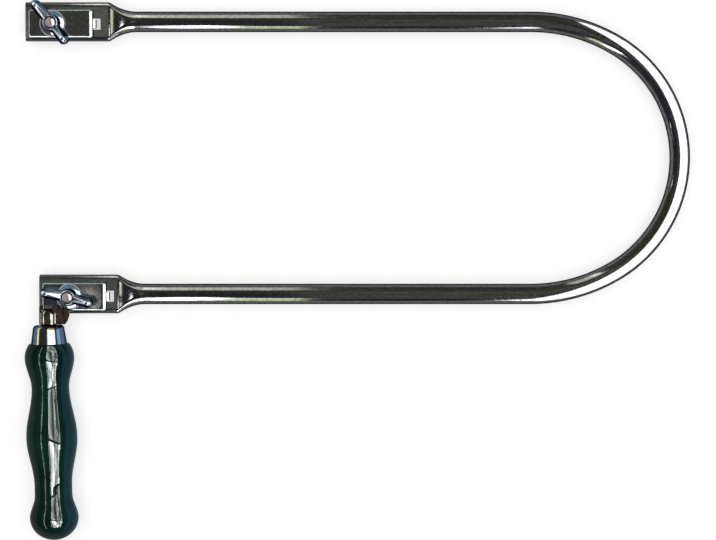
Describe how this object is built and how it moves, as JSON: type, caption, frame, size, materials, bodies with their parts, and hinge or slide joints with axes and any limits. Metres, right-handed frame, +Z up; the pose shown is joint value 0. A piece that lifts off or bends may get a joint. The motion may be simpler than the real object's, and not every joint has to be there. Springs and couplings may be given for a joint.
{
  "type": "fret saw",
  "caption": "Fret saw: bent tube bow with flattened ends, blade clamps with wing nuts at both ends, and a turned, lacquered wooden handle.",
  "frame": {"origin": "middle of the saw's length and width, on the bench that the handle rests on; the saw lies on its side, with the bow's mid-plane 9.95 mm above the bench", "axes": "+X from the clamps to the bend, +Y from the handle to the upper arm, +Z up from the bench, out of the wing nuts"},
  "size_m": [0.3251, 0.263, 0.0298],
  "materials": {
    "bow": "bright plated, with faint draw lines along the tube",
    "bolts": "plated, turned end",
    "plates": "bright plated pressing",
    "washers": "bright plated",
    "wing_nuts": "plated casting",
    "bracket": "dark bright plating over pressed steel",
    "tang": "plain steel rod",
    "ferrule": "bright plated",
    "handle": "turned hardwood, dark bottle-green gloss lacquer"
  },
  "bodies": {
    "frame": {"bow": "bow", "upper_clamp_bolt": "bolts", "lower_clamp_bolt": "bolts", "handle_bracket": "bracket", "tang": "tang", "ferrule": "ferrule", "handle": "handle"},
    "upper_plate": {"upper_clamp_plate": "plates"},
    "upper_washer": {"upper_washer": "washers"},
    "upper_nut": {"upper_wing_nut": "wing_nuts"},
    "lower_plate": {"lower_clamp_plate": "plates"},
    "lower_washer": {"lower_washer": "washers"},
    "lower_nut": {"lower_wing_nut": "wing_nuts"}
  },
  "joints": [
    {"name": "upper_washer_lift", "type": "slide", "parent": "frame", "child": "upper_washer", "axis": [0, 0, 1], "range_m": [0, 0.0024]},
    {"name": "upper_nut_turn", "type": "hinge", "parent": "upper_washer", "child": "upper_nut", "pos_m": [-0.14774, 0.12083, 0.0178], "axis": [0, 0, 1], "range_deg": [0, 1080]},
    {"name": "upper_plate_tilt", "type": "hinge", "parent": "frame", "child": "upper_plate", "pos_m": [-0.12824, 0.12083, 0.0125], "axis": [0, 1, 0], "range_deg": [0, 5]},
    {"name": "lower_washer_lift", "type": "slide", "parent": "frame", "child": "lower_washer", "axis": [0, 0, 1], "range_m": [0, 0.0024]},
    {"name": "lower_nut_turn", "type": "hinge", "parent": "lower_washer", "child": "lower_nut", "pos_m": [-0.14034, -0.01187, 0.0178], "axis": [0, 0, 1], "range_deg": [0, 1080]},
    {"name": "lower_plate_tilt", "type": "hinge", "parent": "frame", "child": "lower_plate", "pos_m": [-0.12234, -0.01187, 0.0125], "axis": [0, 1, 0], "range_deg": [0, 5]}
  ],
  "couplings": [
    {"joint": "upper_washer_lift", "follows": "upper_nut_turn", "m_per_rad": 0.00012732},
    {"joint": "upper_plate_tilt", "follows": "upper_nut_turn", "ratio": 0.0046296},
    {"joint": "lower_washer_lift", "follows": "lower_nut_turn", "m_per_rad": 0.00012732},
    {"joint": "lower_plate_tilt", "follows": "lower_nut_turn", "ratio": 0.0046296}
  ]
}
